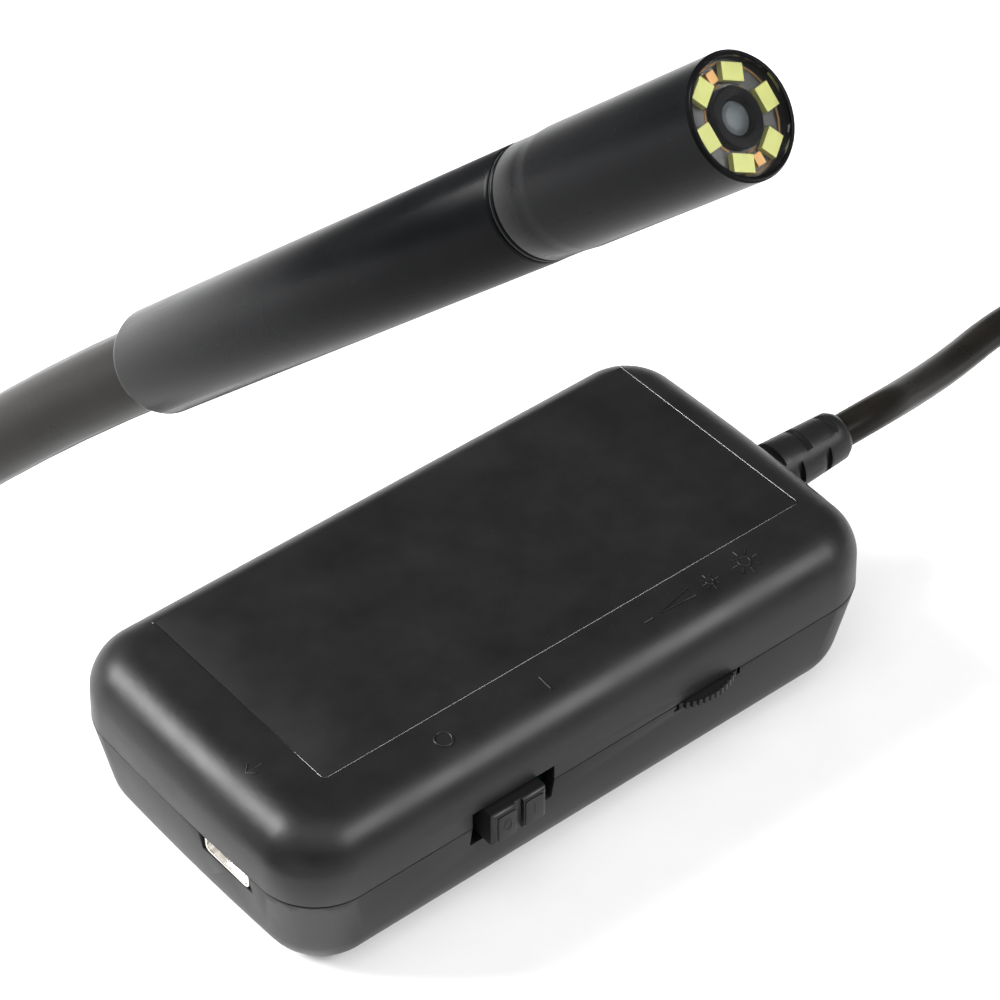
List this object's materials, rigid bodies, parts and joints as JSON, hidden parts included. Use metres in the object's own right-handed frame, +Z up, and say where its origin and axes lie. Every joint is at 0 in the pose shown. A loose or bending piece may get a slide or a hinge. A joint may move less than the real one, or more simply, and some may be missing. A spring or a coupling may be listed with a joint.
{
  "type": "wireless inspection camera",
  "caption": "Pocket inspection camera: a rounded black control box with power slider, brightness wheel and micro-USB socket, and a slim lit camera head on a form-holding cable",
  "frame": {"origin": "middle of the control box's flat bottom face", "axes": "+X runs along the box towards the cable, -Y is the side with the slider and the wheel, +Z is up"},
  "size_m": [0.2521, 0.183, 0.2244],
  "materials": {
    "case_black": "fine spark-eroded texture",
    "knob_black": "satin",
    "rubber_black": "satin moulded",
    "jacket_black": "satin extruded jacket",
    "head_black": "satin black coating",
    "steel": "zinc plated",
    "nickel": "bright tin plate",
    "board": "solder mask over glass fibre",
    "chip": "moulded epoxy",
    "ceramic": "fired",
    "white_plastic": "nylon",
    "led_lens": "phosphor gel",
    "orange_part": "glazed",
    "glass": "clear",
    "foil": "laminated pouch",
    "foam": "closed-cell foam",
    "tape": "polyimide tape",
    "brass": "plain",
    "wire_red": "thin insulation"
  },
  "bodies": {
    "camera": {"bottom_cover": "case_black", "top_cover": "case_black", "case_screws": "steel", "main_board": "board", "board_screws": "steel", "battery_pad": "foam", "battery_cell": "foil", "battery_tape": "tape", "radio_board": "board", "radio_shield": "nickel", "aerial_strip": "tape", "video_chip": "chip", "memory_chip": "chip", "charge_chip": "chip", "clock_crystal": "nickel", "power_coil": "ceramic", "board_capacitors": "ceramic", "board_resistors": "chip", "status_light": "led_lens", "usb_shell": "nickel", "usb_tongue": "chip", "usb_contacts": "brass", "switch_frame": "nickel", "switch_base": "chip", "switch_terminals": "nickel", "dimmer_base": "chip", "dimmer_pin": "brass", "dimmer_terminals": "nickel", "cable_header": "white_plastic", "cable_plug": "white_plastic", "inner_wires": "wire_red", "cable_collar": "brass", "cable_stub": "jacket_black", "strain_relief": "rubber_black", "probe_cable_lead": "jacket_black", "probe_cable_rise": "jacket_black", "probe_cable_coil": "jacket_black", "coil_tie": "rubber_black", "rear_sleeve": "head_black", "seam_ring": "head_black", "head_tube": "head_black", "front_window": "glass", "light_board": "board", "head_lights": "led_lens", "light_resistors": "orange_part", "lens_barrel": "head_black", "front_lens": "glass", "rear_lens": "glass", "sensor_chip": "chip", "sensor_board": "board", "driver_board": "board", "cable_seal": "rubber_black", "head_cable_end": "jacket_black", "head_wires": "wire_red"},
    "power_slider": {"slider_knob": "knob_black", "switch_lever": "chip"},
    "brightness_wheel": {"dimmer_wheel": "knob_black", "dimmer_rotor": "white_plastic"}
  },
  "joints": [
    {"name": "power_slide", "type": "slide", "parent": "camera", "child": "power_slider", "axis": [1, 0, 0], "range_m": [0, 0.002]},
    {"name": "brightness_turn", "type": "hinge", "parent": "camera", "child": "brightness_wheel", "pos_m": [0.0142, -0.015, 0.01275], "axis": [0, 0, 1], "range_deg": [0, 270]}
  ]
}
